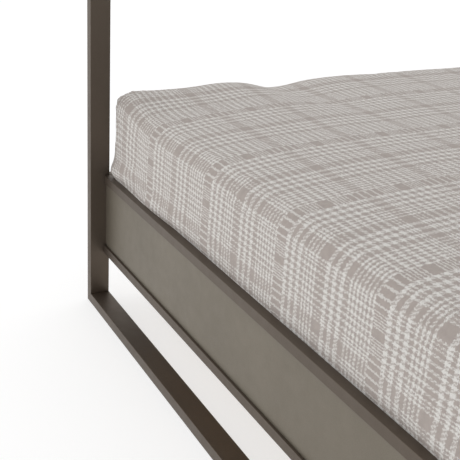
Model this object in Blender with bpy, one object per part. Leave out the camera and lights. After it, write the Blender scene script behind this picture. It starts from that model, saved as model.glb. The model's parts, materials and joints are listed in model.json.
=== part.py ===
"""Four poster canopy bed: two welded end loops, recessed-panel rails, slatted base, mattress and plaid cover.

Metres, +Z up.  X is the width of the bed, +Y points to the head end, and the origin is on the floor under
the middle of the bed.
"""
import math

import bmesh
import bpy
from mathutils import Matrix, Vector

# ---- driving dimensions ----------------------------------------------------------------------------------
GAP = 0.0003                    # daylight kept between neighbouring solids

MATTRESS_WIDTH = 1.524          # queen size
MATTRESS_LENGTH = 2.032
MATTRESS_THICKNESS = 0.254
MATTRESS_CORNER = 0.045         # plan radius of the corners
MATTRESS_UPPER_EDGE = 0.038     # radius that rolls the side into the top
MATTRESS_LOWER_EDGE = 0.012
COVER_THICKNESS = 0.002
COVER_TOP = 0.566               # upper face of the made bed
COVER_HEM = 0.322               # lower edge of the cover, below the rails' upper face

BED_HEIGHT = 2.100
TUBE_WIDE = 0.050               # loop tube, wide face
TUBE_THIN = 0.025               # loop tube, narrow face
TUBE_WALL = 0.002
TUBE_RADIUS = 0.0009            # outer edge radius of every steel tube
MITRE_TRIM = 0.75 * GAP         # taken off each mitred end, so that two mitre faces stand about GAP apart

RAIL_BOTTOM = 0.1375
RAIL_TOP = 0.348
RAIL_TUBE = 0.021               # square tube along the upper and the lower edge of each rail
RAIL_WALL = 0.0015
END_RAIL_SET_BACK = 0.035       # outer face of a foot or head rail behind the loop's outer face
SIDE_RAIL_SET_BACK = 0.002      # outer face of a side rail behind the posts' outer face
RAIL_TO_COVER = 0.002
PANEL_RECESS = 0.006            # panel face behind the face of its edge tubes
PANEL_THICKNESS = 0.0025
HEADBOARD_TOP = 1.060

END_PLATE = 0.004
BOLT_SHANK_RADIUS = 0.003
BOLT_HOLE_RADIUS = 0.0034
BOLT_SIDES = 16
RAIL_BOLT_HEAD_RADIUS = 0.005
RAIL_BOLT_HEAD_LENGTH = 0.006
RAIL_BOLT_LENGTH = 0.016
RAIL_BOLT_FROM_EDGE = 0.055     # from the lower and the upper face of the rail
CANOPY_BOLT_HEAD_RADIUS = 0.008
CANOPY_BOLT_HEAD_LENGTH = 0.0028
CANOPY_BOLT_LENGTH = 0.066
SOCKET_RADIUS = 0.0022
SOCKET_DEPTH = 0.0016
HEAD_ROUNDING = 0.0008

CANOPY_END_WALL = 0.003         # wall that closes the ends of a canopy side rail
CANOPY_END_HOLE = 0.0036        # half width of the hole in it

SLAT_COUNT = 10
SLAT_WIDTH = 0.140
SLAT_THICKNESS = 0.018
SLAT_RADIUS = 0.002
SLAT_END_GAP = 0.004
SLAT_ROW_MARGIN = 0.030         # first slat behind the end of the mattress
LEDGE_LEG = 0.040
LEDGE_THICKNESS = 0.003
LEDGE_END_GAP = 0.012           # clear of the rail bolts' heads

BEAM_SIZE = 0.040
BEAM_WALL = 0.002
BEAM_END_GAP = 0.003
HANGER_WIDTH = 0.060
HANGER_SHELF = 0.045
HANGER_DROP = 0.060
HANGER_THICKNESS = 0.003

LEG_SIZE = 0.030
LEG_WALL = 0.002
LEG_FLANGE_LENGTH = 0.080
LEG_FLANGE_WIDTH = 0.038
LEG_FLANGE_THICKNESS = 0.003
LEG_NUT_PLATE = 0.006
LEG_STEM_HOLE = 0.0056          # half width of the hole for the foot's stem
FOOT_TRAVEL = 0.020             # how far the foot screws out of the leg
FOOT_PAD_RADIUS = 0.022
FOOT_PAD_HEIGHT = 0.009
FOOT_PAD_ROUNDING = 0.002
FOOT_NECK_RADIUS = 0.009
FOOT_NECK_HEIGHT = 0.006
FOOT_STEM_RADIUS = 0.005
FOOT_STEM_GRIP = 0.014          # stem still in the leg when the foot is fully out
FOOT_SIDES = 32
LEG_TO_FOOT = 0.001

CORNER_STEPS = 6                # facets in a quarter circle of the soft parts

# ---- worked out from them --------------------------------------------------------------------------------
COVER_HALF_WIDTH = MATTRESS_WIDTH / 2 + GAP + COVER_THICKNESS
COVER_HALF_LENGTH = MATTRESS_LENGTH / 2 + GAP + COVER_THICKNESS
HALF_WIDTH = COVER_HALF_WIDTH + RAIL_TO_COVER + RAIL_TUBE + SIDE_RAIL_SET_BACK
HALF_LENGTH = COVER_HALF_LENGTH + RAIL_TO_COVER + RAIL_TUBE + END_RAIL_SET_BACK
POST_INNER_X = HALF_WIDTH - TUBE_THIN
POST_INNER_Y = HALF_LENGTH - TUBE_WIDE
LOOP_Y = HALF_LENGTH - TUBE_WIDE / 2

MATTRESS_TOP = COVER_TOP - COVER_THICKNESS - GAP
MATTRESS_BOTTOM = MATTRESS_TOP - MATTRESS_THICKNESS
SLAT_TOP = MATTRESS_BOTTOM - GAP
SLAT_BOTTOM = SLAT_TOP - SLAT_THICKNESS
LEDGE_TOP = SLAT_BOTTOM - GAP
BEAM_BOTTOM = LEDGE_TOP - BEAM_SIZE

PANEL_BOTTOM = RAIL_BOTTOM + RAIL_TUBE + GAP
PANEL_TOP = RAIL_TOP - RAIL_TUBE - GAP
PANEL_BACK = PANEL_RECESS + PANEL_THICKNESS
END_RAIL_Y = HALF_LENGTH - END_RAIL_SET_BACK
SIDE_RAIL_X = HALF_WIDTH - SIDE_RAIL_SET_BACK
END_RAIL_HALF = POST_INNER_X - GAP
SIDE_RAIL_HALF = POST_INNER_Y - END_PLATE - 2 * GAP

BOLT_X = SIDE_RAIL_X - (PANEL_BACK + RAIL_TUBE) / 2
BOLT_HEIGHTS = {"lower": RAIL_BOTTOM + RAIL_BOLT_FROM_EDGE, "upper": RAIL_TOP - RAIL_BOLT_FROM_EDGE}
CANOPY_Z = BED_HEIGHT - TUBE_THIN / 2
CANOPY_SIDE_X = HALF_WIDTH - TUBE_WIDE / 2

SIDES = {"left": -1, "right": 1}
ENDS = {"foot": -1, "head": 1}
QUARTER = math.pi / 2


# ---- materials -------------------------------------------------------------------------------------------
def principled(name, colour, roughness, metallic=0.0):
    """Return a plain Principled material."""
    material = bpy.data.materials.new(name)
    material.use_nodes = True
    shader = material.node_tree.nodes["Principled BSDF"]
    shader.inputs["Base Color"].default_value = (*colour, 1.0)
    shader.inputs["Roughness"].default_value = roughness
    shader.inputs["Metallic"].default_value = metallic
    return material


# ---- mesh helpers ----------------------------------------------------------------------------------------
def add_object(name, bm, material):
    """Turn a bmesh into a named scene object whose faces point outwards."""
    bmesh.ops.recalc_face_normals(bm, faces=bm.faces)
    mesh = bpy.data.meshes.new(name)
    bm.to_mesh(mesh)
    bm.free()
    mesh.materials.append(material)
    obj = bpy.data.objects.new(name, mesh)
    bpy.context.collection.objects.link(obj)
    return obj


def box(name, corner_a, corner_b, material, radius=0.0):
    """Solid block between two opposite corners, with rounded edges where a radius is given."""
    low = Vector(map(min, corner_a, corner_b))
    high = Vector(map(max, corner_a, corner_b))
    bm = bmesh.new()
    bmesh.ops.create_cube(bm, size=1.0)
    bmesh.ops.scale(bm, vec=high - low, verts=bm.verts)
    bmesh.ops.translate(bm, vec=(low + high) / 2, verts=bm.verts)
    if radius > 0.0:
        bmesh.ops.bevel(bm, geom=bm.edges[:], offset=radius, segments=2, profile=0.5, affect="EDGES")
    return add_object(name, bm, material)


def bridge(bm, ring_a, ring_b):
    """Join two rings of vertices with quads."""
    for i in range(len(ring_a)):
        j = (i + 1) % len(ring_a)
        bm.faces.new((ring_a[i], ring_a[j], ring_b[j], ring_b[i]))


def tube_mesh(stations, thin, mitre=0.0):
    """Hollow bar along X from the (reach, half Y, half Z) of its rings, outer ring first, inner ring last.

    With mitre 1 both ends are cut at 45 degrees, so that the face at -Z is the long one.
    """
    bm = bmesh.new()
    ends = []
    for side in (-1, 1):
        rings = []
        for reach, half_y, half_z in stations:
            ring = []
            for y, z in ((-half_y, -half_z), (half_y, -half_z), (half_y, half_z), (-half_y, half_z)):
                ring.append(bm.verts.new((side * (reach - mitre * (z + thin / 2)), y, z)))
            rings.append(ring)
        for outer, inner in zip(rings, rings[1:]):
            bridge(bm, outer, inner)
        ends.append(rings)
    bridge(bm, ends[0][0], ends[1][0])
    bridge(bm, ends[0][-1], ends[1][-1])
    bmesh.ops.recalc_face_normals(bm, faces=bm.faces)
    long_edges = [bm.edges.get((ends[0][0][i], ends[1][0][i])) for i in range(4)]
    bmesh.ops.bevel(bm, geom=long_edges, offset=TUBE_RADIUS, segments=2, profile=0.5, affect="EDGES")
    return bm


def tube(name, centre, length, wide, thin, wall, material, turn=None, mitre=0.0):
    """Open-ended rectangular tube: wide on Y and thin on Z before it is turned."""
    outer = (length / 2, wide / 2, thin / 2)
    inner = (length / 2, wide / 2 - wall, thin / 2 - wall)
    bm = tube_mesh((outer, inner), thin, mitre)
    if turn is not None:
        bmesh.ops.transform(bm, matrix=turn, verts=bm.verts)
    obj = add_object(name, bm, material)
    obj.location = centre
    return obj


def turned(name, profile, sides, material):
    """Solid turned about local Z from (radius, height) points, closed by a flat face at each end."""
    bm = bmesh.new()
    rings = []
    for radius, height in profile:
        angles = [2 * math.pi * k / sides for k in range(sides)]
        rings.append([bm.verts.new((radius * math.cos(a), radius * math.sin(a), height)) for a in angles])
    for lower, upper in zip(rings, rings[1:]):
        bridge(bm, lower, upper)
    bm.faces.new(rings[0])
    bm.faces.new(rings[-1])
    return add_object(name, bm, material)


def drill(obj, start, end, radius, tag):
    """Cut a round hole through an object between two points."""
    start = Vector(start)
    end = Vector(end)
    bm = bmesh.new()
    bmesh.ops.create_cone(bm, cap_ends=True, segments=BOLT_SIDES, radius1=radius, radius2=radius,
                          depth=(end - start).length)
    cutter = add_object(f"cutter_{obj.name}_{tag}", bm, obj.data.materials[0])
    cutter.location = (start + end) / 2
    cutter.rotation_mode = "QUATERNION"
    cutter.rotation_quaternion = (end - start).to_track_quat("Z", "Y")
    cutter.hide_render = True
    cutter.display_type = "WIRE"
    cut = obj.modifiers.new(f"hole_{tag}", "BOOLEAN")
    cut.operation = "DIFFERENCE"
    cut.solver = "EXACT"
    cut.object = cutter


# ---- the end loops ---------------------------------------------------------------------------------------
def loop_bar(name, centre, length, turn, steel):
    """One mitred side of an end loop; the long face is the outer one."""
    trimmed = length - 2 * MITRE_TRIM
    return tube(name, centre, trimmed, TUBE_WIDE, TUBE_THIN, TUBE_WALL, steel, turn, mitre=1.0)


def end_loop(end, sign, steel):
    """Two posts, a floor rail and a canopy end rail, mitred into one upright rectangle."""
    y = sign * LOOP_Y
    half_turn = Matrix.Rotation(math.pi, 4, "X")
    loop_bar(f"floor_rail_{end}", (0, y, TUBE_THIN / 2), 2 * HALF_WIDTH, None, steel)
    canopy = loop_bar(f"canopy_rail_{end}", (0, y, CANOPY_Z), 2 * HALF_WIDTH, half_turn, steel)
    posts = {}
    for side, x_sign in SIDES.items():
        centre = (x_sign * (HALF_WIDTH - TUBE_THIN / 2), y, BED_HEIGHT / 2)
        turn = Matrix.Rotation(x_sign * -QUARTER, 4, "Y")
        posts[side] = loop_bar(f"post_{end}_{side}", centre, BED_HEIGHT, turn, steel)
    return posts, canopy


# ---- rails -----------------------------------------------------------------------------------------------
def rail_tube_heights():
    """Middle heights of a rail's lower and upper tube."""
    return {"bottom_tube": RAIL_BOTTOM + RAIL_TUBE / 2, "top_tube": RAIL_TOP - RAIL_TUBE / 2}


def end_rail(end, sign, steel):
    """Foot or head rail: two square tubes with a recessed sheet panel between them, between the posts."""
    tube_y = sign * (END_RAIL_Y - RAIL_TUBE / 2)
    for part, z in rail_tube_heights().items():
        tube(f"{end}_rail_{part}", (0, tube_y, z), 2 * END_RAIL_HALF, RAIL_TUBE, RAIL_TUBE, RAIL_WALL, steel)
    box(f"{end}_rail_panel",
        (-END_RAIL_HALF, sign * (END_RAIL_Y - PANEL_RECESS), PANEL_BOTTOM),
        (END_RAIL_HALF, sign * (END_RAIL_Y - PANEL_BACK), PANEL_TOP), steel)


def headboard(steel):
    """Plain sheet above the head rail, framed at the top by one more tube."""
    upper_tube_z = HEADBOARD_TOP - RAIL_TUBE / 2
    tube("headboard_top_tube", (0, END_RAIL_Y - RAIL_TUBE / 2, upper_tube_z), 2 * END_RAIL_HALF,
         RAIL_TUBE, RAIL_TUBE, RAIL_WALL, steel)
    box("headboard_panel",
        (-END_RAIL_HALF, END_RAIL_Y - PANEL_RECESS, RAIL_TOP + GAP),
        (END_RAIL_HALF, END_RAIL_Y - PANEL_BACK, HEADBOARD_TOP - RAIL_TUBE - GAP), steel)


def side_rail(side, sign, posts, steel, zinc):
    """Side rail of the same section, with an end plate and two bolts at each post."""
    quarter_turn = Matrix.Rotation(QUARTER, 4, "Z")
    tube_x = sign * (SIDE_RAIL_X - RAIL_TUBE / 2)
    for part, z in rail_tube_heights().items():
        tube(f"side_rail_{side}_{part}", (tube_x, 0, z), 2 * SIDE_RAIL_HALF,
             RAIL_TUBE, RAIL_TUBE, RAIL_WALL, steel, quarter_turn)
    box(f"side_rail_{side}_panel",
        (sign * (SIDE_RAIL_X - PANEL_RECESS), -SIDE_RAIL_HALF, PANEL_BOTTOM),
        (sign * (SIDE_RAIL_X - PANEL_BACK), SIDE_RAIL_HALF, PANEL_TOP), steel)
    for end, y_sign in ENDS.items():
        plate_outer = y_sign * (POST_INNER_Y - GAP)
        plate_inner = y_sign * (POST_INNER_Y - GAP - END_PLATE)
        plate = box(f"end_plate_{end}_{side}", (sign * SIDE_RAIL_X, plate_outer, RAIL_BOTTOM),
                    (sign * (SIDE_RAIL_X - RAIL_TUBE), plate_inner, RAIL_TOP), steel)
        for level, z in BOLT_HEIGHTS.items():
            through_plate = 2 * END_PLATE
            drill(plate, (sign * BOLT_X, plate_inner - through_plate, z),
                  (sign * BOLT_X, plate_inner + through_plate, z), BOLT_HOLE_RADIUS, level)
            drill(posts[end][side], (sign * BOLT_X, y_sign * (POST_INNER_Y - TUBE_WALL), z),
                  (sign * BOLT_X, y_sign * (POST_INNER_Y + 2 * TUBE_WALL), z), BOLT_HOLE_RADIUS, level)
            rail_bolt(f"rail_bolt_{end}_{side}_{level}", (sign * BOLT_X, plate_inner - y_sign * GAP, z),
                      y_sign, zinc)


def bolt_profile(head_radius, head_length, length):
    """Profile of a socket screw, tip first; the head's seat is at height 0 and the shank is below it."""
    return [
        (BOLT_SHANK_RADIUS - HEAD_ROUNDING, -length),
        (BOLT_SHANK_RADIUS, HEAD_ROUNDING - length),
        (BOLT_SHANK_RADIUS, 0.0),
        (head_radius, 0.0),
        (head_radius, head_length - HEAD_ROUNDING),
        (head_radius - HEAD_ROUNDING, head_length),
        (SOCKET_RADIUS, head_length),
        (SOCKET_RADIUS, head_length - SOCKET_DEPTH),
    ]


def point_along_y(obj, y_sign, seat):
    """Turn a bolt so that its shank runs towards y_sign, and put its seat at a point."""
    obj.rotation_euler = (y_sign * QUARTER, 0, 0)
    obj.location = seat


def rail_bolt(name, seat, y_sign, zinc):
    """Socket head screw that holds a side rail's end plate to a post."""
    profile = bolt_profile(RAIL_BOLT_HEAD_RADIUS, RAIL_BOLT_HEAD_LENGTH, RAIL_BOLT_LENGTH)
    point_along_y(turned(name, profile, BOLT_SIDES, zinc), y_sign, seat)


# ---- canopy ----------------------------------------------------------------------------------------------
def canopy_side(side, sign, canopies, steel):
    """Canopy side rail between the loops, with a bolt through each loop into its closed end."""
    half = POST_INNER_Y - GAP
    stations = (
        (half, TUBE_WIDE / 2, TUBE_THIN / 2),
        (half, CANOPY_END_HOLE, CANOPY_END_HOLE),
        (half - CANOPY_END_WALL, CANOPY_END_HOLE, CANOPY_END_HOLE),
        (half - CANOPY_END_WALL, TUBE_WIDE / 2 - TUBE_WALL, TUBE_THIN / 2 - TUBE_WALL),
    )
    bm = tube_mesh(stations, TUBE_THIN)
    bmesh.ops.rotate(bm, matrix=Matrix.Rotation(QUARTER, 3, "Z"), verts=bm.verts)
    rail = add_object(f"canopy_rail_{side}", bm, steel)
    rail.location = (sign * CANOPY_SIDE_X, 0, CANOPY_Z)
    for end, y_sign in ENDS.items():
        outside = (sign * CANOPY_SIDE_X, y_sign * (HALF_LENGTH + TUBE_WALL), CANOPY_Z)
        inside = (sign * CANOPY_SIDE_X, y_sign * (POST_INNER_Y - TUBE_WALL), CANOPY_Z)
        drill(canopies[end], outside, inside, BOLT_HOLE_RADIUS, side)
        profile = bolt_profile(CANOPY_BOLT_HEAD_RADIUS, CANOPY_BOLT_HEAD_LENGTH, CANOPY_BOLT_LENGTH)
        bolt = turned(f"canopy_bolt_{end}_{side}", profile, BOLT_SIDES, steel)
        seat = (sign * CANOPY_SIDE_X, y_sign * (HALF_LENGTH + GAP), CANOPY_Z)
        point_along_y(bolt, -y_sign, seat)


# ---- slatted base ----------------------------------------------------------------------------------------
def angle_bar(name, corner, legs, length_axis, half_length, thickness, material):
    """L section: one leg runs from the corner across the bed, the other one down; both reach `legs`."""
    across, down = legs
    sign = math.copysign(1.0, across)
    outline = (
        (0.0, 0.0),
        (across, 0.0),
        (across, -thickness),
        (sign * thickness, -thickness),
        (sign * thickness, -down),
        (0.0, -down),
    )
    bm = bmesh.new()
    rings = []
    for run in (-half_length, half_length):
        ring = []
        for a, z in outline:
            across_at = corner[0] + a
            height = corner[1] + z
            place = (across_at, run, height) if length_axis == "Y" else (run, across_at, height)
            ring.append(bm.verts.new(place))
        rings.append(ring)
    bridge(bm, rings[0], rings[1])
    bm.faces.new(rings[0])
    bm.faces.new(rings[1])
    return add_object(name, bm, material)


def slatted_base(black, wood):
    """Ledges on the side panels, a centre beam on hangers, and the slats across them."""
    ledge_x = SIDE_RAIL_X - PANEL_BACK - GAP
    for side, sign in SIDES.items():
        angle_bar(f"slat_ledge_{side}", (sign * ledge_x, LEDGE_TOP), (-sign * LEDGE_LEG, LEDGE_LEG),
                  "Y", SIDE_RAIL_HALF - LEDGE_END_GAP, LEDGE_THICKNESS, black)
    hanger_y = END_RAIL_Y - PANEL_BACK - GAP
    for end, sign in ENDS.items():
        angle_bar(f"beam_hanger_{end}", (sign * hanger_y, BEAM_BOTTOM - GAP), (-sign * HANGER_SHELF, HANGER_DROP),
                  "X", HANGER_WIDTH / 2, HANGER_THICKNESS, black)
    beam_length = 2 * (hanger_y - BEAM_END_GAP)
    tube("centre_beam", (0, 0, BEAM_BOTTOM + BEAM_SIZE / 2), beam_length, BEAM_SIZE, BEAM_SIZE, BEAM_WALL,
         black, Matrix.Rotation(QUARTER, 4, "Z"))
    half_slat = ledge_x - SLAT_END_GAP
    first = COVER_HALF_LENGTH - SLAT_ROW_MARGIN - SLAT_WIDTH / 2
    pitch = 2 * first / (SLAT_COUNT - 1)
    for i in range(SLAT_COUNT):
        y = -first + i * pitch
        box(f"slat_{i + 1:02d}", (-half_slat, y - SLAT_WIDTH / 2, SLAT_BOTTOM),
            (half_slat, y + SLAT_WIDTH / 2, SLAT_TOP), wood, SLAT_RADIUS)


def centre_support(black, plastic):
    """Centre leg under the beam, and the screw foot that levels it."""
    leg_top = BEAM_BOTTOM - GAP
    leg_bottom = FOOT_PAD_HEIGHT + FOOT_NECK_HEIGHT + LEG_TO_FOOT
    half = LEG_SIZE / 2
    hollow = half - LEG_WALL
    flange_x = LEG_FLANGE_WIDTH / 2
    flange_y = LEG_FLANGE_LENGTH / 2
    levels = (
        (leg_bottom, LEG_STEM_HOLE, LEG_STEM_HOLE),
        (leg_bottom, half, half),
        (leg_top - LEG_FLANGE_THICKNESS, half, half),
        (leg_top - LEG_FLANGE_THICKNESS, flange_x, flange_y),
        (leg_top, flange_x, flange_y),
        (leg_top, hollow, hollow),
        (leg_bottom + LEG_NUT_PLATE, hollow, hollow),
        (leg_bottom + LEG_NUT_PLATE, LEG_STEM_HOLE, LEG_STEM_HOLE),
    )
    bm = bmesh.new()
    rings = []
    for z, half_x, half_y in levels:
        corners = ((-half_x, -half_y), (half_x, -half_y), (half_x, half_y), (-half_x, half_y))
        rings.append([bm.verts.new((x, y, z)) for x, y in corners])
    for lower, upper in zip(rings, rings[1:] + rings[:1]):
        bridge(bm, lower, upper)
    add_object("centre_leg", bm, black)
    neck_top = FOOT_PAD_HEIGHT + FOOT_NECK_HEIGHT
    profile = (
        (FOOT_PAD_RADIUS - FOOT_PAD_ROUNDING, 0.0),
        (FOOT_PAD_RADIUS, FOOT_PAD_ROUNDING),
        (FOOT_PAD_RADIUS, FOOT_PAD_HEIGHT - FOOT_PAD_ROUNDING),
        (FOOT_PAD_RADIUS - FOOT_PAD_ROUNDING, FOOT_PAD_HEIGHT),
        (FOOT_NECK_RADIUS, FOOT_PAD_HEIGHT),
        (FOOT_NECK_RADIUS, neck_top),
        (FOOT_STEM_RADIUS, neck_top),
        (FOOT_STEM_RADIUS, neck_top + FOOT_TRAVEL + FOOT_STEM_GRIP),
    )
    turned("levelling_foot", profile, FOOT_SIDES, plastic)


# ---- soft parts ------------------------------------------------------------------------------------------
def rounded_outline(half_x, half_y, radius):
    """Points of a rectangle with round corners, counter-clockwise."""
    points = []
    for quadrant, (sx, sy) in enumerate(((1, 1), (-1, 1), (-1, -1), (1, -1))):
        for k in range(CORNER_STEPS + 1):
            angle = QUARTER * (quadrant + k / CORNER_STEPS)
            x = sx * (half_x - radius) + radius * math.cos(angle)
            y = sy * (half_y - radius) + radius * math.sin(angle)
            points.append((x, y))
    return points


def soft_levels(bottom, top, lower_edge, upper_edge):
    """(inset, height) of the rings that roll a soft block's side into its lower and upper faces."""
    levels = []
    for k in range(CORNER_STEPS + 1 if lower_edge > 0.0 else 1):
        angle = QUARTER * k / CORNER_STEPS
        levels.append((lower_edge * (1 - math.sin(angle)), bottom + lower_edge * (1 - math.cos(angle))))
    for k in range(CORNER_STEPS + 1):
        angle = QUARTER * k / CORNER_STEPS
        levels.append((upper_edge * (1 - math.cos(angle)), top - upper_edge * (1 - math.sin(angle))))
    return levels


def soft_rings(bm, half_x, half_y, corner, levels):
    """Rings of vertices at the given (inset, height) levels."""
    rings = []
    for inset, z in levels:
        outline = rounded_outline(half_x - inset, half_y - inset, corner)
        rings.append([bm.verts.new((x, y, z)) for x, y in outline])
    for lower, upper in zip(rings, rings[1:]):
        bridge(bm, lower, upper)
    return rings


def mattress(ticking):
    """Plain block with round corners and rolled edges."""
    bm = bmesh.new()
    levels = soft_levels(MATTRESS_BOTTOM, MATTRESS_TOP, MATTRESS_LOWER_EDGE, MATTRESS_UPPER_EDGE)
    rings = soft_rings(bm, MATTRESS_WIDTH / 2, MATTRESS_LENGTH / 2, MATTRESS_CORNER, levels)
    bm.faces.new(rings[0])
    bm.faces.new(rings[-1])
    add_object("mattress", bm, ticking)


def mattress_cover(cloth):
    """Fitted cover: a thin shell over the mattress's top and sides, open below."""
    bm = bmesh.new()
    spread = GAP + COVER_THICKNESS
    inner = soft_rings(bm, MATTRESS_WIDTH / 2 + GAP, MATTRESS_LENGTH / 2 + GAP, MATTRESS_CORNER + GAP,
                       soft_levels(COVER_HEM, MATTRESS_TOP + GAP, 0.0, MATTRESS_UPPER_EDGE + GAP))
    outer = soft_rings(bm, MATTRESS_WIDTH / 2 + spread, MATTRESS_LENGTH / 2 + spread, MATTRESS_CORNER + spread,
                       soft_levels(COVER_HEM, COVER_TOP, 0.0, MATTRESS_UPPER_EDGE + spread))
    bridge(bm, inner[0], outer[0])
    bm.faces.new(inner[-1])
    bm.faces.new(outer[-1])
    add_object("mattress_cover", bm, cloth)


# ---- the bed ---------------------------------------------------------------------------------------------
def build():
    """Clear the scene and build every piece of the bed."""
    for obj in list(bpy.data.objects):
        bpy.data.objects.remove(obj, do_unlink=True)
    bronze = principled("bronze_steel", (0.115, 0.094, 0.076), 0.38, 0.85)
    zinc = principled("zinc_steel", (0.42, 0.42, 0.41), 0.35, 1.0)
    black = principled("black_steel", (0.030, 0.029, 0.028), 0.55, 0.6)
    wood = principled("slat_wood", (0.62, 0.44, 0.26), 0.60)
    plastic = principled("foot_plastic", (0.020, 0.020, 0.020), 0.50)
    ticking = principled("mattress_ticking", (0.82, 0.80, 0.76), 0.90)
    cloth = principled("plaid_cloth", (0.52, 0.47, 0.43), 0.92)
    posts = {}
    canopies = {}
    for end, sign in ENDS.items():
        posts[end], canopies[end] = end_loop(end, sign, bronze)
        end_rail(end, sign, bronze)
    headboard(bronze)
    for side, sign in SIDES.items():
        side_rail(side, sign, posts, bronze, zinc)
        canopy_side(side, sign, canopies, bronze)
    slatted_base(black, wood)
    centre_support(black, plastic)
    mattress(ticking)
    mattress_cover(cloth)


build()
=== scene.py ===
"""Looks of the four poster canopy bed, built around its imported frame.

Metres, +Z up, +Y to the head end.  The steel, the slats and the screws are the frame's own nodes with better
materials; the mattress and its plaid cover are new meshes, and the cover is settled by a cloth simulation.
"""
import json
import math

import bpy
import numpy as np
from mathutils import Matrix, Vector, noise


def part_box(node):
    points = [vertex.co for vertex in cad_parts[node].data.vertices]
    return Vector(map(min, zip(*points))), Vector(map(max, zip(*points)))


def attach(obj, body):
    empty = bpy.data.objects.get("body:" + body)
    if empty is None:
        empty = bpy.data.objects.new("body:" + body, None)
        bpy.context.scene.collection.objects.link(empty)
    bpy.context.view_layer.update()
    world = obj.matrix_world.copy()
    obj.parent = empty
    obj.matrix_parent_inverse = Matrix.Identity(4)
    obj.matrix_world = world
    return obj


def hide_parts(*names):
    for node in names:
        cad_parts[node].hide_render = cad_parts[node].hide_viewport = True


# ---- camera ----------------------------------------------------------------------------------------------
CAMERA_FROM_POST = (2.0475, -0.7051, 1.0846)   # from the foot of the left foot post, its inner front edge
CAMERA_AZIMUTH = 65.42
CAMERA_TILT = 19.54
CAMERA_ROLL = 1.83
CAMERA_LENS = 71.59                            # millimetres; the angles above are in degrees
CAMERA_SHIFT = (0.120, -0.087)

# ---- light -----------------------------------------------------------------------------------------------
WORLD_STRENGTH = 0.97
SHADE_HEADING = (0.91, 0.41, 0.0)              # the surroundings are dimmer on this side
SHADE_EDGE = (0.2, 0.9)         # cosines of the angle to it between which they dim
SHADE_SHARE = 0.45              # strength left there
FLOOR_SIZE = 60.0
FLOOR_DROP = 0.0006             # keeps the floor clear of the posts' undersides
FLOOR_PAINT = 0.46
FLOOR_GLOW = 0.63

# ---- mattress and cover ----------------------------------------------------------------------------------
EDGE_RADIUS = 0.040             # the cover's roll from side to top, and its plan corners
MATTRESS_TIGHTER = 0.002        # how much smaller the mattress's radius under it is
COVER_CELL = 0.0105             # mesh size of the cover
MATTRESS_CELL = 0.028
COVER_THICKNESS = 0.0012
LOWER_RADIUS = 0.012            # lower edge of the mattress
LOWER_STEPS = 3
CORD_RADIUS = 0.0035
CORD_SIDES = 8

# How the filled shape differs from a plain block with round edges.
SETTLED_DEPTH = 0.17            # the top's sinks and rises fade out down the sides over this depth
SHOULDER_SINK = 0.033           # how far the top has sunk along its foot and head edges
SHOULDER_REACH = 0.165          # distance over which that fades towards the middle
CROWN = 0.002                   # how far the middle stands above the edges
CROWN_START = 0.1               # distance from the ends where that begins
CROWN_FULL = 0.6                # and where it is complete
CORNER_REACH = 0.22             # length beside each corner that hasn't sunk
CORNER_SPREAD = 0.09            # size of the filled corners
CORNER_FULLNESS = 0.0060        # how far they push out
CORNER_RISE = 0.002             # and how far they rise
DENT = (-0.764, -0.600)         # where a dent crosses the left edge
DENT_HEADING = 0.16             # slope of the dent's line across the bed
DENT_DEPTH = 0.0165
DENT_FOOT_SIDE = 0.055          # its half width towards the foot, where it is steeper
DENT_HEAD_SIDE = 0.095          # its half width towards the head
DENT_LENGTH = 0.27
RIDGE_PLACE = 0.144             # a low ridge beside the dent, this far towards the foot
RIDGE_WIDTH = 0.072
RIDGE_HEIGHT = 0.006
HEM_FLARE = 0.006               # how far the sides swell over the rails near the corners
HEM_SHARE = 0.35                # share of that which stays along the middle of the sides
HEM_REACH = 0.5                 # distance from a corner over which it fades to that
HEM_CORNER = 0.006              # swell added at the corners themselves
HEM_SWELL_HEIGHT = 0.018        # height over the rails where the sides stand out furthest
HEM_SWELL_WIDTH = 0.022
HEM_TUCK = (-0.002, 0.012)      # heights over the rails between which they come out of the gap

# How the cloth is settled on it.
COVER_LIFT = 0.002              # how far above its final place the cover starts
FORM_GAP = 0.0022               # how far under its final place the form is that it settles on
RUMPLE = 0.0030                 # size of the wrinkles that the cover starts with
RUMPLE_LENGTH = 0.16
RUMPLE_CLOSER = 1.3             # how much closer they lie along the bed and up its sides than across it
RUMPLE_FINE = (0.3, 2.3)        # share of the finer ones, and how much closer they lie
SETTLE_FRAMES = 24
CLOTH_SETTINGS = {
    "quality": 5,
    "mass": 0.15,
    "tension_stiffness": 25.0,
    "compression_stiffness": 20.0,
    "shear_stiffness": 8.0,
    "bending_stiffness": 3.0,
    "shrink_min": 0.004,        # cut a little shorter than the mattress, so that it fits tightly
    "air_damping": 3.0,
}
CLOTH_CLEARANCE = 0.0012
FORM_CLEARANCE = 0.001
FORM_FRICTION = 12.0

# ---- plaid -----------------------------------------------------------------------------------------------
WARP_YARN = 2.5                 # millimetres from one warp yarn to the next
WEFT_YARN = 1.8
WARP_REPEAT = 114               # yarns in one repeat of the pattern
WEFT_REPEAT = 90
FIRST_COLUMN = -532.0           # left side of a solid column, in millimetres from the bed's middle
FIRST_SQUARE = 149.0            # millimetres from the foot hem to the first row of solid squares
SOLID_COLUMN = 13               # yarns from the repeat's start that hold no white warp

# Groups of white stripes in one repeat, in yarns: start of the group, number, pitch and width of each stripe.
WARP_STRIPES = ((13, 3, 8, 4), (37, 4, 4, 2), (62, 3, 8, 4), (88, 7, 4, 2))
WEFT_ROWS = ((7, 3, 4, 2), (20.5, 6, 9, 4), (73, 3, 4, 2))
THIN_ROWS = ((3.0, 2, 8.1, 2.2), (19.0, 6, 3.6, 1.5), (51.4, 6, 3.6, 1.5), (76.7, 2, 8.1, 2.2))

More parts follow.
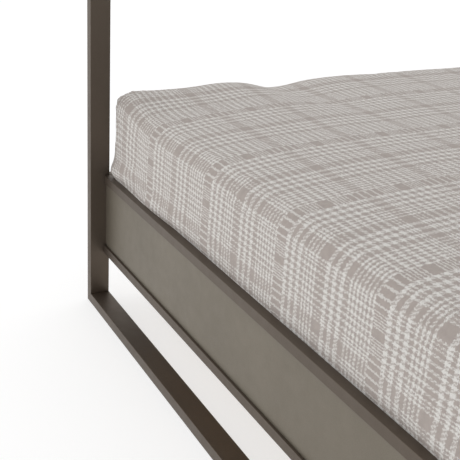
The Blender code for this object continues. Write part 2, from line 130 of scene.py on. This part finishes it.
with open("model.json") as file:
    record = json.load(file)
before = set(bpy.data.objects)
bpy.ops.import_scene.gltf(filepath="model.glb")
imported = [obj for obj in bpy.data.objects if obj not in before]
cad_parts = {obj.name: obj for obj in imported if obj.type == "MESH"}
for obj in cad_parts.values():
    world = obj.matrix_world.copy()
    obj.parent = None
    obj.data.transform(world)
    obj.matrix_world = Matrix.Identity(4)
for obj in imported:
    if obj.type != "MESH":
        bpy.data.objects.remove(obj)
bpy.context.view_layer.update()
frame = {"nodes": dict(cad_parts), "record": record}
BODY = "bed_frame"


# ---- node helpers ----------------------------------------------------------------------------------------
class Nodes:
    """Builds the node tree of a material or a world."""

    def __init__(self, owner):
        self.owner = owner
        self.owner.use_nodes = True
        self.tree = self.owner.node_tree

    def add(self, kind, inputs=(), **settings):
        """Add a node, set its properties and its inputs, and return it."""
        made = self.tree.nodes.new(kind)
        for key, value in settings.items():
            setattr(made, key, value)
        for key, value in dict(inputs).items():
            self.put(made.inputs[key], value)
        return made

    def put(self, socket, value):
        """Link a socket to another one, or set it to a constant."""
        if isinstance(value, bpy.types.NodeSocket):
            self.tree.links.new(value, socket)
        elif isinstance(value, (tuple, list)) and len(value) == 3 and socket.type == "RGBA":
            socket.default_value = (*value, 1.0)
        else:
            socket.default_value = value

    def math(self, operation, a, b=0.0, c=0.0, clamp=False):
        """One Math node."""
        made = self.add("ShaderNodeMath", {0: a, 1: b, 2: c}, operation=operation, use_clamp=clamp)
        return made.outputs[0]

    def vector(self, operation, a, b=(0.0, 0.0, 0.0), scale=1.0):
        """One Vector Math node, with its Value output for a dot product."""
        made = self.add("ShaderNodeVectorMath", {0: a, 1: b, 3: scale}, operation=operation)
        return made.outputs["Value" if operation == "DOT_PRODUCT" else "Vector"]

    def blend(self, factor, a, b):
        """Mix two numbers."""
        return self.add("ShaderNodeMix", {0: factor, 2: a, 3: b}).outputs[0]

    def mix(self, factor, a, b):
        """Mix two colours."""
        made = self.add("ShaderNodeMix", data_type="RGBA")
        self.put(made.inputs[0], factor)
        self.put(made.inputs[6], a)
        self.put(made.inputs[7], b)
        return made.outputs[2]

    def remap(self, value, from_low, from_high, to_low, to_high):
        """Clamped linear change of range."""
        inputs = {0: value, 1: from_low, 2: from_high, 3: to_low, 4: to_high}
        return self.add("ShaderNodeMapRange", inputs).outputs[0]

    def place(self, scale=(1.0, 1.0, 1.0)):
        """Coordinates in the part's frame, in metres, stretched per axis."""
        coordinates = self.add("ShaderNodeTexCoord").outputs["Object"]
        return self.add("ShaderNodeMapping", {"Vector": coordinates, "Scale": scale}).outputs[0]

    def noise(self, vector, scale, detail=2.0):
        """Noise from 0 to 1 about a mean of one half."""
        inputs = {"Vector": vector, "Scale": scale, "Detail": detail, "Roughness": 0.5}
        return self.add("ShaderNodeTexNoise", inputs).outputs[0]

    def bump(self, height, distance):
        """Bump with its height in metres."""
        inputs = {"Height": height, "Distance": distance, "Strength": 1.0}
        return self.add("ShaderNodeBump", inputs).outputs[0]

    def finish(self, **inputs):
        """Set the shader's inputs by name, with _ for a space, and return the material."""
        shader = self.tree.nodes["Principled BSDF"]
        for key, value in inputs.items():
            self.put(shader.inputs[key.replace("_", " ")], value)
        return self.owner


def new_look(name):
    """Nodes of a new material."""
    return Nodes(bpy.data.materials.new(name))


# ---- materials -------------------------------------------------------------------------------------------
def coated_steel(name, colour, metallic, roughness, edge_highlight):
    """Powder-coated or lacquered steel: fine texture, cloudy gloss, and a painted highlight that makes the
    edges a little lighter.
    """
    nodes = new_look(name)
    place = nodes.place()
    cloud = nodes.noise(place, 6.0, 3.0)
    grain = nodes.noise(place, 900.0, 2.0)
    peel = nodes.noise(place, 260.0, 1.0)
    darker, lighter, bright, highlight_colour = [[share * c for c in colour] for share in (0.94, 1.06, 1.5, 2.0)]
    toned = nodes.mix(nodes.remap(cloud, 0.3, 0.7, 0.0, 1.0), darker, lighter)
    speckled = nodes.mix(nodes.remap(grain, 0.35, 0.75, 0.0, 0.35), toned, bright)
    # painted highlight: where the rounded normal turns away from the flat one, at the edges, the colour is
    # lightened towards twice the base colour
    rounded = nodes.add("ShaderNodeBevel", {"Radius": 0.0012}, samples=4).outputs[0]
    flat = nodes.add("ShaderNodeNewGeometry").outputs["Normal"]
    facing = nodes.vector("DOT_PRODUCT", rounded, flat)
    edge = nodes.math("MULTIPLY", nodes.remap(facing, 0.80, 0.99, 1.0, 0.0), edge_highlight)
    edge_highlit = nodes.mix(edge, speckled, highlight_colour)
    gloss = nodes.remap(nodes.noise(place, 45.0, 4.0), 0.3, 0.7, roughness - 0.03, roughness + 0.04)
    height = nodes.math("MULTIPLY_ADD", grain, 0.5, peel)
    normal = nodes.bump(height, 0.00012)
    return nodes.finish(Base_Color=edge_highlit, Metallic=metallic, Roughness=gloss, Normal=normal)


def zinc_steel():
    """Zinc-plated screws: bright grey, mottled, fine turning marks."""
    nodes = new_look("look_zinc")
    place = nodes.place()
    mottle = nodes.noise(place, 300.0, 3.0)
    colour = nodes.mix(nodes.remap(mottle, 0.3, 0.7, 0.0, 1.0), (0.36, 0.37, 0.37), (0.56, 0.56, 0.53))
    gloss = nodes.remap(nodes.noise(place, 700.0, 2.0), 0.3, 0.7, 0.28, 0.45)
    height = nodes.noise(nodes.place((1.0, 14.0, 1.0)), 500.0, 2.0)
    return nodes.finish(Base_Color=colour, Metallic=1.0, Roughness=gloss, Normal=nodes.bump(height, 0.00003))


def pine():
    """Planed pine slats with the grain along the slat, a few knots, and a tone of its own for each slat."""
    nodes = new_look("look_pine")
    row = nodes.place((0.6, 9.0, 2.0))
    tone = nodes.noise(nodes.place((0.0, 4.6, 0.0)), 1.0, 0.0)
    warp = nodes.noise(row, 3.0, 2.0)
    stretched = nodes.place((1.6, 34.0, 34.0))
    shifted = nodes.vector("ADD", stretched, warp)
    waves = {"Vector": shifted, "Scale": 0.9, "Distortion": 5.0, "Detail": 2.0, "Detail Scale": 0.6}
    rings = nodes.add("ShaderNodeTexWave", waves, bands_direction="Y").outputs[1]
    fibre = nodes.noise(nodes.place((8.0, 420.0, 420.0)), 1.0, 3.0)
    spread = nodes.place((2.4, 7.0, 7.0))
    cells = nodes.add("ShaderNodeTexVoronoi", {"Vector": spread, "Scale": 1.0}).outputs[0]
    knot = nodes.remap(cells, 0.03, 0.11, 1.0, 0.0)
    base = nodes.mix(nodes.remap(tone, 0.35, 0.65, 0.0, 1.0), (0.60, 0.41, 0.23), (0.70, 0.52, 0.31))
    ringed = nodes.mix(nodes.math("MULTIPLY", rings, 0.45), base, (0.46, 0.27, 0.12))
    fine = nodes.mix(nodes.remap(fibre, 0.45, 0.8, 0.0, 0.35), ringed, (0.40, 0.25, 0.12))
    knotted = nodes.mix(nodes.math("MULTIPLY", knot, 0.8), fine, (0.16, 0.08, 0.035))
    height = nodes.math("MULTIPLY_ADD", rings, 0.4, fibre)
    gloss = nodes.remap(fibre, 0.3, 0.7, 0.50, 0.66)
    return nodes.finish(Base_Color=knotted, Roughness=gloss, Normal=nodes.bump(height, 0.00012))


def nylon():
    """Black moulded nylon with a fine spark-eroded texture."""
    nodes = new_look("look_nylon")
    place = nodes.place()
    grain = nodes.noise(place, 1400.0, 2.0)
    colour = nodes.mix(nodes.remap(nodes.noise(place, 60.0), 0.3, 0.7, 0.0, 1.0), (0.014, 0.014, 0.015),
                       (0.028, 0.027, 0.026))
    gloss = nodes.remap(grain, 0.3, 0.7, 0.42, 0.58)
    return nodes.finish(Base_Color=colour, Roughness=gloss, Normal=nodes.bump(grain, 0.00005))


def ticking():
    """Off-white knitted mattress fabric with small raised lozenges."""
    nodes = new_look("look_ticking")
    place = nodes.place()
    parts = nodes.add("ShaderNodeSeparateXYZ", {0: place}).outputs
    across = nodes.math("ADD", parts[0], parts[2])
    diagonals = []
    for sign in (-1.0, 1.0):
        slope = nodes.math("MULTIPLY_ADD", parts[1], sign, across)
        diagonals.append(nodes.math("SINE", nodes.math("MULTIPLY", slope, 2 * math.pi / 0.018)))
    lozenge = nodes.math("MULTIPLY", diagonals[0], diagonals[1])
    knit = nodes.noise(place, 1500.0, 1.0)
    colour = nodes.mix(nodes.remap(lozenge, -0.3, 0.3, 0.0, 1.0), (0.70, 0.68, 0.64), (0.80, 0.79, 0.76))
    height = nodes.math("MULTIPLY_ADD", knit, 0.4, lozenge)
    normal = nodes.bump(height, 0.0006)
    return nodes.finish(Base_Color=colour, Roughness=0.92, Sheen_Weight=0.15, Normal=normal)


def comb(nodes, position, start, count, pitch, width):
    """1 on `count` equal stripes from `start` on, each `width` wide on a pitch, and 0 elsewhere."""
    local = nodes.math("SUBTRACT", position, start)
    stripe = nodes.math("LESS_THAN", nodes.math("FLOORED_MODULO", local, pitch), width)
    begun = nodes.math("GREATER_THAN", local, 0.0)
    going = nodes.math("LESS_THAN", local, count * pitch)
    return nodes.math("MULTIPLY", stripe, nodes.math("MULTIPLY", begun, going))


def stripes(nodes, position, groups):
    """1 on the stripes of any of the groups."""
    found = 0.0
    for group in groups:
        found = nodes.math("MAXIMUM", found, comb(nodes, position, *group))
    return found


def wander(nodes, vector, scale, reach):
    """The vector moved about by noise, up to half of `reach` either way."""
    cloud = nodes.add("ShaderNodeTexNoise", {"Vector": vector, "Scale": scale, "Detail": 1.0}).outputs[1]
    centred = nodes.vector("SUBTRACT", cloud, (0.5, 0.5, 0.5))
    return nodes.vector("ADD", vector, nodes.vector("SCALE", centred, scale=reach))


def plaid():
    """Woven glen plaid on the cover's own map: off-white stripes both ways in a taupe twill.

    A yarn that lies on top shows its colour, so a white stripe is broken by the twill, and it is whole only
    where a white warp stripe crosses a white weft row.  Columns with no white warp have thinner rows.
    """
    nodes = new_look("look_plaid")
    flat = nodes.add("ShaderNodeUVMap", uv_map="cloth").outputs[0]
    moved = wander(nodes, wander(nodes, flat, 3.0, 0.014), 300.0, 0.0080)
    parts = nodes.add("ShaderNodeSeparateXYZ", {0: moved}).outputs
    yarns_across = nodes.math("MULTIPLY_ADD", parts[0], 1000.0 / WARP_YARN, -FIRST_COLUMN / WARP_YARN)
    across = nodes.math("FLOOR", yarns_across)
    square = -FIRST_SQUARE / WEFT_YARN + WEFT_REPEAT / 2
    along = nodes.math("MULTIPLY_ADD", parts[1], 1000.0 / WEFT_YARN, square)
    pick = nodes.math("FLOOR", along)
    warp = nodes.math("ADD", nodes.math("FLOORED_MODULO", across, WARP_REPEAT), 0.5)
    weft = nodes.math("ADD", nodes.math("FLOORED_MODULO", pick, WEFT_REPEAT), 0.5)
    height = nodes.math("FLOORED_MODULO", along, WEFT_REPEAT)

    warp_white = stripes(nodes, warp, WARP_STRIPES)
    weft_rows = stripes(nodes, weft, WEFT_ROWS)
    thin_rows = stripes(nodes, height, THIN_ROWS)
    diagonal = nodes.math("FLOORED_MODULO", nodes.math("SUBTRACT", across, pick), 4.0)
    warp_on_top = nodes.math("LESS_THAN", diagonal, 2.0)
    seen = nodes.blend(warp_on_top, weft_rows, warp_white)
    any_white = nodes.math("MAXIMUM", warp_white, weft_rows)
    both_white = nodes.math("MULTIPLY", warp_white, weft_rows)
    twilled = nodes.math("MULTIPLY_ADD", any_white, 0.20, nodes.math("MULTIPLY", seen, 0.58))
    twilled = nodes.math("MULTIPLY_ADD", both_white, 0.22, twilled)
    solid_column = nodes.math("LESS_THAN", warp, SOLID_COLUMN)
    plain = nodes.math("MULTIPLY", thin_rows, 0.72)
    white = nodes.blend(solid_column, twilled, plain)

    fuzz = nodes.noise(flat, 700.0, 2.0)
    heather = nodes.noise(flat, 90.0, 2.0)
    taupe = nodes.mix(nodes.remap(heather, 0.3, 0.7, 0.0, 1.0), (0.402, 0.350, 0.322), (0.452, 0.396, 0.364))
    broken = nodes.math("MULTIPLY", white, nodes.remap(fuzz, 0.28, 0.6, 0.62, 1.0), clamp=True)
    colour = nodes.mix(broken, taupe, (0.80, 0.785, 0.755))
    slant = nodes.math("SUBTRACT", parts[0], parts[1])
    ribs = nodes.math("SINE", nodes.math("MULTIPLY", slant, 2 * math.pi / 0.0026))
    woven = nodes.math("MULTIPLY_ADD", white, 0.6, nodes.math("MULTIPLY", ribs, 0.4))
    relief = nodes.math("ADD", woven, fuzz)
    return nodes.finish(Base_Color=colour, Roughness=0.90, Sheen_Weight=0.12, Sheen_Roughness=0.4,
                        Normal=nodes.bump(relief, 0.00025))


def dress_frame():
    """Give every frame node its finish."""
    finishes = {
        "bronze_steel": coated_steel("look_bronze", (0.116, 0.093, 0.073), 0.75, 0.46, 0.3),
        "zinc_steel": zinc_steel(),
        "black_steel": coated_steel("look_black", (0.030, 0.029, 0.028), 0.35, 0.52, 0.3),
        "slat_wood": pine(),
        "foot_plastic": nylon(),
        "mattress_ticking": ticking(),
        "plaid_cloth": plaid(),
    }
    panel = coated_steel("look_bronze_panel", (0.179, 0.156, 0.122), 0.60, 0.48, 0.3)
    for part in frame["record"]["subparts"]:
        node = frame["nodes"][part["node"]]
        finish = finishes[part["material_slot"]]
        if part["node"].endswith("panel"):
            finish = panel
        for slot in node.material_slots:
            slot.material = finish
    return finishes


# ---- the shape of the bedding ----------------------------------------------------------------------------
def smooth_step(value, start, end):
    """0 before start, 1 after end, and smooth between them."""
    share = max(0.0, min(1.0, (value - start) / (end - start)))
    return share * share * (3.0 - 2.0 * share)


def bell(distance, width):
    """Bell curve of height 1."""
    return math.exp(-((distance / width) ** 2))


class Block:
    """A box with round edges, described by a net of cells: one top sheet and four flaps sewn at the corners.

    Its points are then moved by `settled`, which gives the sunk shoulders, the full corners, the dent and
    the swell over the rails.
    """

    def __init__(self, low, high, radius, cell):
        self.centre = (low + high) / 2
        self.half = (high - low) / 2
        self.top = high.z
        self.radius = radius
        self.flat = Vector((self.half.x - radius, self.half.y - radius))
        self.reach = self.flat + Vector((1, 1)) * radius * math.pi / 4
        self.drop = radius * math.pi / 4 + high.z - low.z - radius
        self.counts = [2 * round(r / cell) for r in self.reach]
        self.levels = round(self.drop / cell)
        self.rail_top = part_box("foot_rail_top_tube")[1].z

    def sharp(self, along, axis):
        """Place on the unrounded box of a net coordinate across the top."""
        turned = (abs(along) - self.flat[axis]) / self.radius
        if turned <= 0:
            return along
        return math.copysign(self.flat[axis] + self.radius * math.tan(turned), along)

    def depth(self, run):
        """Depth on the unrounded box of a net coordinate down a flap."""
        turned = math.pi / 4 + run / self.radius
        if turned < math.pi / 2:
            return self.radius * (1 - math.tan(math.pi / 2 - turned))
        return self.radius + run - self.radius * math.pi / 4

    def core(self, point):
        """The nearest point of the box that the round edges are centred on."""
        return Vector((
            max(-self.flat.x, min(self.flat.x, point.x)),
            max(-self.flat.y, min(self.flat.y, point.y)),
            min(self.top - self.radius, point.z),
        ))

    def settled(self, sharp_point, lift, rumple):
        """Final place of a point of the unrounded box, `lift` off the surface and rumpled by noise."""
        core = self.core(sharp_point)
        outward = (sharp_point - core).normalized()
        point = core + outward * self.radius
        from_side = self.half.x - abs(point.x)
        from_end = self.half.y - abs(point.y)
        near_corner = bell(from_side, CORNER_SPREAD) * bell(from_end, CORNER_SPREAD)

        inland = smooth_step(from_side, 0.0, CORNER_REACH)
        sink = SHOULDER_SINK * math.exp(-from_end / SHOULDER_REACH) * inland
        crown = CROWN * smooth_step(from_end, CROWN_START, CROWN_FULL)
        raised = smooth_step(point.z, self.top - SETTLED_DEPTH, self.top)
        point.z += raised * (crown + CORNER_RISE * near_corner - sink - self.dent(point))

        over_rail = point.z - self.rail_top
        fading = bell(from_side, HEM_REACH) * bell(from_end, HEM_REACH)
        flare = HEM_FLARE * (HEM_SHARE + (1.0 - HEM_SHARE) * fading) + HEM_CORNER * near_corner
        swell = flare * bell(over_rail - HEM_SWELL_HEIGHT, HEM_SWELL_WIDTH)
        swell = swell * smooth_step(over_rail, *HEM_TUCK) + CORNER_FULLNESS * near_corner
        sideways = Vector((outward.x, outward.y, 0.0))
        point += sideways * swell + outward * lift
        if rumple:
            share, closer = RUMPLE_FINE
            place = Vector((point.x, RUMPLE_CLOSER * point.y, RUMPLE_CLOSER * point.z)) / RUMPLE_LENGTH
            height = (1.0 - share) * noise.noise(place) + share * noise.noise(closer * place)
            point += outward * rumple * height
        return point

    def dent(self, point):
        """Depth of the dent in the top at a point, less the ridge beside it."""
        across = (point.y - DENT[1]) - DENT_HEADING * (point.x - DENT[0])
        fading = bell(point.x - DENT[0], DENT_LENGTH)
        hollow = DENT_DEPTH * bell(across, DENT_HEAD_SIDE if across > 0 else DENT_FOOT_SIDE)
        ridge = RIDGE_HEIGHT * bell(across + RIDGE_PLACE, RIDGE_WIDTH)
        return (hollow - ridge) * fading

    def net(self, lift=0.0, rumple=0.0):
        """Points, faces, each face's flat corners and the indices of the lowest loop."""
        nx, ny = self.counts
        a = [self.reach.x * (2 * i / nx - 1) for i in range(nx + 1)]
        b = [self.reach.y * (2 * j / ny - 1) for j in range(ny + 1)]
        points = [Vector((self.sharp(x, 0), self.sharp(y, 1), self.top)) for y in b for x in a]
        faces = []
        flats = []
        for j in range(ny):
            for i in range(nx):
                first = j * (nx + 1) + i
                faces.append((first, first + 1, first + nx + 2, first + nx + 1))
                flats.append(((a[i], b[j]), (a[i + 1], b[j]), (a[i + 1], b[j + 1]), (a[i], b[j + 1])))
        loop = [(i, 0) for i in range(nx)] + [(nx, j) for j in range(ny)]
        loop += [(i, ny) for i in range(nx, 0, -1)] + [(0, j) for j in range(ny, 0, -1)]
        above = [j * (nx + 1) + i for i, j in loop]
        step = self.drop / self.levels
        for level in range(1, self.levels + 1):
            below = []
            for i, j in loop:
                below.append(len(points))
                height = self.top - self.depth(level * step)
                points.append(Vector((self.sharp(a[i], 0), self.sharp(b[j], 1), height)))
            for k in range(len(loop)):
                n = (k + 1) % len(loop)
                faces.append((above[n], above[k], below[k], below[n]))
                flats.append(self.flap_corners(loop[k], loop[n], a, b, (level - 1) * step, level * step))
            above = below
        middle = Vector((self.centre.x, self.centre.y, 0.0))
        return [self.settled(p, lift, rumple) + middle for p in points], faces, flats, above

    def flap_corners(self, this, following, a, b, upper, lower):
        """Flat places of one flap cell's corners, in the order of its face."""
        nx, ny = self.counts
        corners = []
        for (i, j), run in ((following, upper), (this, upper), (this, lower), (following, lower)):
            if this[1] == following[1]:
                sign = -1 if this[1] == 0 else 1
                corners.append((a[i], b[j] + sign * run))
            else:
                sign = 1 if this[0] == nx else -1
                corners.append((a[i] + sign * run, b[j]))
        return tuple(corners)


def new_object(name, points, faces, *materials):
    """Mesh object from points and faces, smooth shaded."""
    mesh = bpy.data.meshes.new(name)
    mesh.from_pydata(points, [], faces)
    mesh.shade_smooth()
    for material in materials:
        mesh.materials.append(material)
    made = bpy.data.objects.new(name, mesh)
    bpy.context.scene.collection.objects.link(made)
    return made


def bake_modifiers(thing):
    """Replace an object's mesh with what its modifiers make of it."""
    graph = bpy.context.evaluated_depsgraph_get()
    made = bpy.data.meshes.new_from_object(thing.evaluated_get(graph), preserve_all_data_layers=True,
                                           depsgraph=graph)
    thing.modifiers.clear()
    thing.data = made
    made.name = thing.name
    made.shade_smooth()


def build_mattress(finishes):
    """Padded mattress with the settled top, a rounded lower edge and a corded seam round its foot."""
    low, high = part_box("mattress")
    lower_edge = Vector((low.x, low.y, low.z + LOWER_RADIUS))
    block = Block(lower_edge, high, EDGE_RADIUS - MATTRESS_TIGHTER, MATTRESS_CELL)
    points, faces, _, rim = block.net()
    loop = [points[i].copy() for i in rim]
    inward = [plan_inward(block, p) for p in loop]
    above = rim
    for step in range(1, LOWER_STEPS + 1):
        turned = math.pi / 2 * step / LOWER_STEPS
        below = []
        for place, side in zip(loop, inward):
            below.append(len(points))
            down = Vector((0, 0, -LOWER_RADIUS * math.sin(turned)))
            points.append(place + side * LOWER_RADIUS * (1 - math.cos(turned)) + down)
        for k in range(len(loop)):
            n = (k + 1) % len(loop)
            faces.append((above[n], above[k], below[k], below[n]))
        above = below
    faces.append(tuple(above))
    mattress = new_object("mattress_body", points, faces, finishes["mattress_ticking"])
    mattress.modifiers.new("round", "SUBSURF").levels = 1
    bake_modifiers(mattress)
    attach(mattress, BODY)
    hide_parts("mattress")

    cord_line = [p + side * CORD_RADIUS * 0.5 for p, side in zip(loop, inward)]
    cord = tube("mattress_cord", cord_line, CORD_RADIUS, finishes["mattress_ticking"])
    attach(cord, BODY)
    return mattress


def plan_inward(block, place):
    """Unit vector towards the block's middle, square to its side at a place."""
    local = place - Vector((block.centre.x, block.centre.y, 0.0))
    core = block.core(local)
    return Vector((core.x - local.x, core.y - local.y, 0.0)).normalized()


def tube(name, line, radius, material):
    """Closed round tube along a closed line."""
    upward = Vector((0, 0, 1))
    points = []
    faces = []
    count = len(line)
    for k in range(count):
        heading = (line[(k + 1) % count] - line[k - 1]).normalized()
        across = heading.cross(upward)
        near = k * CORD_SIDES
        far = (k + 1) % count * CORD_SIDES
        for side in range(CORD_SIDES):
            turned = 2 * math.pi * side / CORD_SIDES
            following = (side + 1) % CORD_SIDES
            points.append(line[k] + radius * (across * math.cos(turned) + upward * math.sin(turned)))
            faces.append((near + side, near + following, far + following, far + side))
    return new_object(name, points, faces, material)


def settle(cover, block, hem):
    """Drop the cover as cloth onto a form of the filled mattress, held at its hem, and keep the result."""
    pinned = cover.vertex_groups.new(name="hem")
    pinned.add(hem, 1.0, "REPLACE")
    points, faces, _, _ = block.net(lift=-FORM_GAP)
    form = new_object("form", points, faces)
    form.modifiers.new("solid", "COLLISION")
    form.collision.thickness_outer = FORM_CLEARANCE
    form.collision.cloth_friction = FORM_FRICTION
    cloth = cover.modifiers.new("cloth", "CLOTH")
    cloth.settings.vertex_group_mass = "hem"
    for key, value in CLOTH_SETTINGS.items():
        setattr(cloth.settings, key, value)
    cloth.collision_settings.distance_min = CLOTH_CLEARANCE
    cloth.collision_settings.use_self_collision = False
    cloth.point_cache.frame_start = 1
    cloth.point_cache.frame_end = SETTLE_FRAMES
    for step in range(1, SETTLE_FRAMES + 1):
        bpy.context.scene.frame_set(step)
    bake_modifiers(cover)
    cover.vertex_groups.clear()
    bpy.data.objects.remove(form)
    bpy.context.scene.frame_set(1)


def cloth_lengths(points, block):
    """Length of the shaped cloth from its middle lines, for each net coordinate across and along."""
    nx, ny = block.counts
    middle_row = [ny // 2 * (nx + 1) + i for i in range(nx + 1)]
    middle_column = [j * (nx + 1) + nx // 2 for j in range(ny + 1)]
    lengths = []
    for line in (middle_row, middle_column):
        places = np.array([points[i] for i in line])
        steps = np.linalg.norm(np.diff(places, axis=0), axis=1)
        run = np.concatenate([[0.0], np.cumsum(steps)])
        lengths.append(run - run[-1] / 2)
    return lengths


def map_cloth(cover, block, points, flats):
    """Give the cover its flat map by true length, with v from the foot hem on, and return the flat size."""
    lengths = cloth_lengths(points, block)
    corners = np.array(flats).reshape(-1, 2)
    mapped = np.empty_like(corners)
    for axis in (0, 1):
        reach = block.reach[axis]
        net = np.linspace(-reach, reach, block.counts[axis] + 1)
        beyond = np.maximum(np.abs(corners[:, axis]) - reach, 0.0)
        inside = np.interp(corners[:, axis], net, lengths[axis])
        mapped[:, axis] = inside + np.sign(corners[:, axis]) * beyond
    half = np.abs(mapped).max(axis=0)
    mapped[:, 1] += half[1]
    layer = cover.data.uv_layers.new(name="cloth")
    layer.data.foreach_set("uv", mapped.astype(np.float32).ravel())
    return 2 * half


def build_cover(finishes):
    """The plaid cover over the mattress's top and sides, mapped by its true length both ways."""
    low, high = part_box("mattress_cover")
    block = Block(low, high, EDGE_RADIUS, COVER_CELL)
    lift, rumple = ((COVER_LIFT, RUMPLE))
    points, faces, flats, hem = block.net(lift, rumple)
    cover = new_object("plaid_cover", points, faces, finishes["plaid_cloth"])
    cut = map_cloth(cover, block, points, flats)
    settle(cover, block, hem)
    thick = cover.modifiers.new("thick", "SOLIDIFY")
    thick.thickness = COVER_THICKNESS
    thick.offset = -1.0
    bake_modifiers(cover)
    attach(cover, BODY)
    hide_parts("mattress_cover")


# ---- studio ----------------------------------------------------------------------------------------------
def build_floor():
    """Pale plain floor with a little light of its own, so that it ends up white out in the open."""
    bpy.ops.mesh.primitive_plane_add(size=FLOOR_SIZE, location=(0.0, 0.0, -FLOOR_DROP))
    floor = bpy.context.object
    floor.name = "studio_floor"
    nodes = new_look("look_floor")
    nodes.finish(Base_Color=(FLOOR_PAINT, FLOOR_PAINT, FLOOR_PAINT), Roughness=0.9)
    nodes.finish(Specular_IOR_Level=0.1, Emission_Color=(1.0, 1.0, 1.0), Emission_Strength=FLOOR_GLOW)
    floor.data.materials.append(nodes.owner)


def build_light():
    """White surroundings that are dimmer on one side, and plain white where the camera sees them."""
    world = bpy.data.worlds.new("studio")
    nodes = Nodes(world)
    heading = nodes.add("ShaderNodeTexCoord").outputs["Generated"]
    facing = nodes.vector("DOT_PRODUCT", heading, SHADE_HEADING)
    shade = nodes.remap(facing, *SHADE_EDGE, WORLD_STRENGTH, WORLD_STRENGTH * SHADE_SHARE)
    seen = nodes.add("ShaderNodeLightPath").outputs["Is Camera Ray"]
    strength = nodes.blend(seen, shade, 1.0)
    background = nodes.tree.nodes["Background"]
    background.inputs["Color"].default_value = (1.0, 1.0, 1.0, 1.0)
    nodes.put(background.inputs["Strength"], strength)
    bpy.context.scene.world = world
    bpy.context.scene.view_settings.view_transform = "Standard"


def build_camera():
    """Camera low over the near foot corner, looking along the foot rail to the far post."""
    post_low, post_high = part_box("post_foot_left")
    camera = bpy.data.objects.new("camera", bpy.data.cameras.new("camera"))
    bpy.context.scene.collection.objects.link(camera)
    turn = Matrix.Rotation(math.radians(CAMERA_AZIMUTH), 3, "Z")
    tilt = Matrix.Rotation(math.radians(90.0 - CAMERA_TILT), 3, "X")
    roll = Matrix.Rotation(math.radians(CAMERA_ROLL), 3, "Z")
    camera.rotation_euler = (turn @ tilt @ roll).to_euler()
    camera.location = Vector((post_high.x, post_low.y, 0.0)) + Vector(CAMERA_FROM_POST)
    camera.data.lens = CAMERA_LENS
    camera.data.shift_x, camera.data.shift_y = CAMERA_SHIFT
    bpy.context.scene.camera = camera


build_camera()
build_light()
build_floor()
finishes = dress_frame()
mattress = build_mattress(finishes)
build_cover(finishes)
